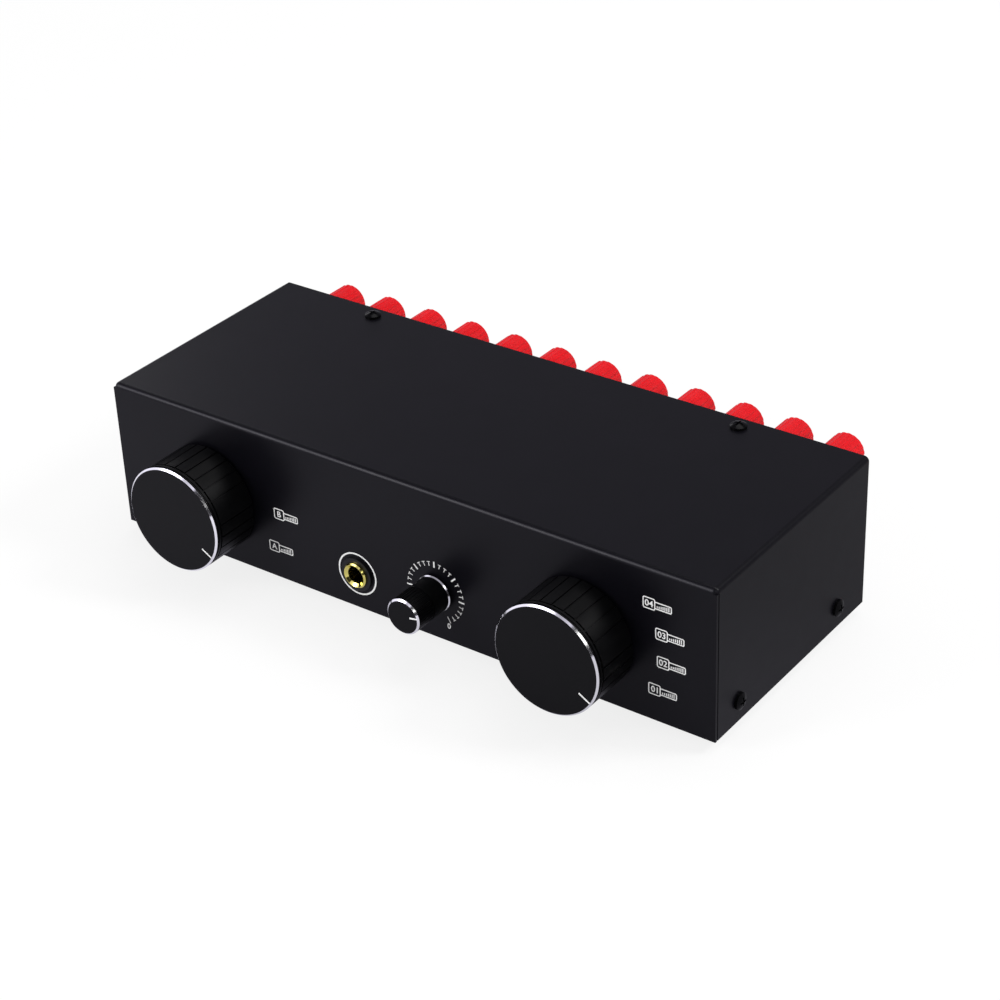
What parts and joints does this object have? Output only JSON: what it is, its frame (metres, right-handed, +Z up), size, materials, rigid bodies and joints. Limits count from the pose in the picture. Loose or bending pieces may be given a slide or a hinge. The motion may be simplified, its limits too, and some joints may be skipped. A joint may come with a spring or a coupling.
{
  "type": "speaker selector switch",
  "caption": "Black steel speaker and amplifier selector box with rotary selector knobs, a headphone volume knob and socket, and rows of red and black binding posts behind.",
  "frame": {"origin": "on the surface that the feet stand on, under the middle of the box and halfway between the faces of the front knobs and the ends of the rear posts", "axes": "+X to the right seen from the front, +Y to the back, +Z up"},
  "size_m": [0.2536, 0.1345, 0.0628],
  "materials": {
    "powder_coat_cover": "satin, very fine powder texture",
    "powder_coat_chassis": "satin, very fine powder texture",
    "foot_rubber": "matte",
    "black_screw": "satin black zinc",
    "gold_plate": "bright plated",
    "red_collar": "gloss",
    "black_collar": "gloss",
    "red_cap": "gloss",
    "black_cap": "gloss",
    "white_washer": "matte",
    "zinc_nut": "bright zinc",
    "board": "satin solder mask",
    "red_wire": "satin",
    "black_wire": "satin",
    "white_wire": "satin",
    "switch_metal": "satin",
    "switch_moulding": "matte",
    "contact_brass": "tinned",
    "pot_body": "matte",
    "jack_gold": "bright gold plate",
    "black_nut": "satin",
    "resistor": "satin",
    "black_alloy": "black anodised, satin, with bright cut bevels",
    "grub_steel": "black oxide",
    "shaft_metal": "bright turned",
    "white_print": "screen printed ink",
    "cut_metal": "bright diamond cut edge",
    "solder": "bright solder"
  },
  "bodies": {
    "enclosure": {"cover": "powder_coat_cover", "chassis": "powder_coat_chassis", "rubber_feet": "foot_rubber", "cover_screws": "black_screw", "binding_studs": "gold_plate", "red_collars": "red_collar", "black_collars": "black_collar", "post_washers": "white_washer", "post_nuts": "zinc_nut", "terminal_board": "board", "amp_wires": "red_wire", "speaker_wires": "black_wire", "headphone_wires": "white_wire", "amp_switch_frame": "switch_metal", "speaker_switch_frame": "switch_metal", "switch_housings": "switch_moulding", "switch_boards": "board", "switch_pins": "contact_brass", "bushing_nuts": "zinc_nut", "volume_pot": "pot_body", "volume_nut": "zinc_nut", "jack_housing": "switch_moulding", "jack_ferrule": "jack_gold", "jack_nut": "black_nut", "jack_contacts": "contact_brass", "headphone_board": "board", "headphone_resistors": "resistor"},
    "amp_control": {"amp_knob": "black_alloy", "amp_knob_screw": "grub_steel", "amp_shaft": "shaft_metal"},
    "speaker_control": {"speaker_knob": "black_alloy", "speaker_knob_screw": "grub_steel", "speaker_shaft": "shaft_metal"},
    "volume_control": {"volume_knob": "black_alloy", "volume_shaft": "shaft_metal"},
    "red_cap_1_body": {"red_cap_1": "red_cap"},
    "red_cap_2_body": {"red_cap_2": "red_cap"},
    "red_cap_3_body": {"red_cap_3": "red_cap"},
    "red_cap_4_body": {"red_cap_4": "red_cap"},
    "red_cap_5_body": {"red_cap_5": "red_cap"},
    "red_cap_6_body": {"red_cap_6": "red_cap"},
    "red_cap_7_body": {"red_cap_7": "red_cap"},
    "red_cap_8_body": {"red_cap_8": "red_cap"},
    "red_cap_9_body": {"red_cap_9": "red_cap"},
    "red_cap_10_body": {"red_cap_10": "red_cap"},
    "red_cap_11_body": {"red_cap_11": "red_cap"},
    "red_cap_12_body": {"red_cap_12": "red_cap"},
    "black_cap_1_body": {"black_cap_1": "black_cap"},
    "black_cap_2_body": {"black_cap_2": "black_cap"},
    "black_cap_3_body": {"black_cap_3": "black_cap"},
    "black_cap_4_body": {"black_cap_4": "black_cap"},
    "black_cap_5_body": {"black_cap_5": "black_cap"},
    "black_cap_6_body": {"black_cap_6": "black_cap"},
    "black_cap_7_body": {"black_cap_7": "black_cap"},
    "black_cap_8_body": {"black_cap_8": "black_cap"},
    "black_cap_9_body": {"black_cap_9": "black_cap"},
    "black_cap_10_body": {"black_cap_10": "black_cap"},
    "black_cap_11_body": {"black_cap_11": "black_cap"},
    "black_cap_12_body": {"black_cap_12": "black_cap"}
  },
  "joints": [
    {"name": "amp_select", "type": "hinge", "parent": "enclosure", "child": "amp_control", "pos_m": [0.0754, -0.04625, 0.0288], "axis": [0, -1, 0], "range_deg": [0, 67.5]},
    {"name": "speaker_select", "type": "hinge", "parent": "enclosure", "child": "speaker_control", "pos_m": [-0.0818, -0.04625, 0.0288], "axis": [0, -1, 0], "range_deg": [0, 30]},
    {"name": "volume_turn", "type": "hinge", "parent": "enclosure", "child": "volume_control", "pos_m": [0.016, -0.04625, 0.0221], "axis": [0, -1, 0], "range_deg": [-72, 228]},
    {"name": "red_cap_1_open", "type": "slide", "parent": "enclosure", "child": "red_cap_1_body", "axis": [0, 1, 0], "range_m": [0, 0.005]},
    {"name": "red_cap_2_open", "type": "slide", "parent": "enclosure", "child": "red_cap_2_body", "axis": [0, 1, 0], "range_m": [0, 0.005]},
    {"name": "red_cap_3_open", "type": "slide", "parent": "enclosure", "child": "red_cap_3_body", "axis": [0, 1, 0], "range_m": [0, 0.005]},
    {"name": "red_cap_4_open", "type": "slide", "parent": "enclosure", "child": "red_cap_4_body", "axis": [0, 1, 0], "range_m": [0, 0.005]},
    {"name": "red_cap_5_open", "type": "slide", "parent": "enclosure", "child": "red_cap_5_body", "axis": [0, 1, 0], "range_m": [0, 0.005]},
    {"name": "red_cap_6_open", "type": "slide", "parent": "enclosure", "child": "red_cap_6_body", "axis": [0, 1, 0], "range_m": [0, 0.005]},
    {"name": "red_cap_7_open", "type": "slide", "parent": "enclosure", "child": "red_cap_7_body", "axis": [0, 1, 0], "range_m": [0, 0.005]},
    {"name": "red_cap_8_open", "type": "slide", "parent": "enclosure", "child": "red_cap_8_body", "axis": [0, 1, 0], "range_m": [0, 0.005]},
    {"name": "red_cap_9_open", "type": "slide", "parent": "enclosure", "child": "red_cap_9_body", "axis": [0, 1, 0], "range_m": [0, 0.005]},
    {"name": "red_cap_10_open", "type": "slide", "parent": "enclosure", "child": "red_cap_10_body", "axis": [0, 1, 0], "range_m": [0, 0.005]},
    {"name": "red_cap_11_open", "type": "slide", "parent": "enclosure", "child": "red_cap_11_body", "axis": [0, 1, 0], "range_m": [0, 0.005]},
    {"name": "red_cap_12_open", "type": "slide", "parent": "enclosure", "child": "red_cap_12_body", "axis": [0, 1, 0], "range_m": [0, 0.005]},
    {"name": "black_cap_1_open", "type": "slide", "parent": "enclosure", "child": "black_cap_1_body", "axis": [0, 1, 0], "range_m": [0, 0.005]},
    {"name": "black_cap_2_open", "type": "slide", "parent": "enclosure", "child": "black_cap_2_body", "axis": [0, 1, 0], "range_m": [0, 0.005]},
    {"name": "black_cap_3_open", "type": "slide", "parent": "enclosure", "child": "black_cap_3_body", "axis": [0, 1, 0], "range_m": [0, 0.005]},
    {"name": "black_cap_4_open", "type": "slide", "parent": "enclosure", "child": "black_cap_4_body", "axis": [0, 1, 0], "range_m": [0, 0.005]},
    {"name": "black_cap_5_open", "type": "slide", "parent": "enclosure", "child": "black_cap_5_body", "axis": [0, 1, 0], "range_m": [0, 0.005]},
    {"name": "black_cap_6_open", "type": "slide", "parent": "enclosure", "child": "black_cap_6_body", "axis": [0, 1, 0], "range_m": [0, 0.005]},
    {"name": "black_cap_7_open", "type": "slide", "parent": "enclosure", "child": "black_cap_7_body", "axis": [0, 1, 0], "range_m": [0, 0.005]},
    {"name": "black_cap_8_open", "type": "slide", "parent": "enclosure", "child": "black_cap_8_body", "axis": [0, 1, 0], "range_m": [0, 0.005]},
    {"name": "black_cap_9_open", "type": "slide", "parent": "enclosure", "child": "black_cap_9_body", "axis": [0, 1, 0], "range_m": [0, 0.005]},
    {"name": "black_cap_10_open", "type": "slide", "parent": "enclosure", "child": "black_cap_10_body", "axis": [0, 1, 0], "range_m": [0, 0.005]},
    {"name": "black_cap_11_open", "type": "slide", "parent": "enclosure", "child": "black_cap_11_body", "axis": [0, 1, 0], "range_m": [0, 0.005]},
    {"name": "black_cap_12_open", "type": "slide", "parent": "enclosure", "child": "black_cap_12_body", "axis": [0, 1, 0], "range_m": [0, 0.005]}
  ]
}
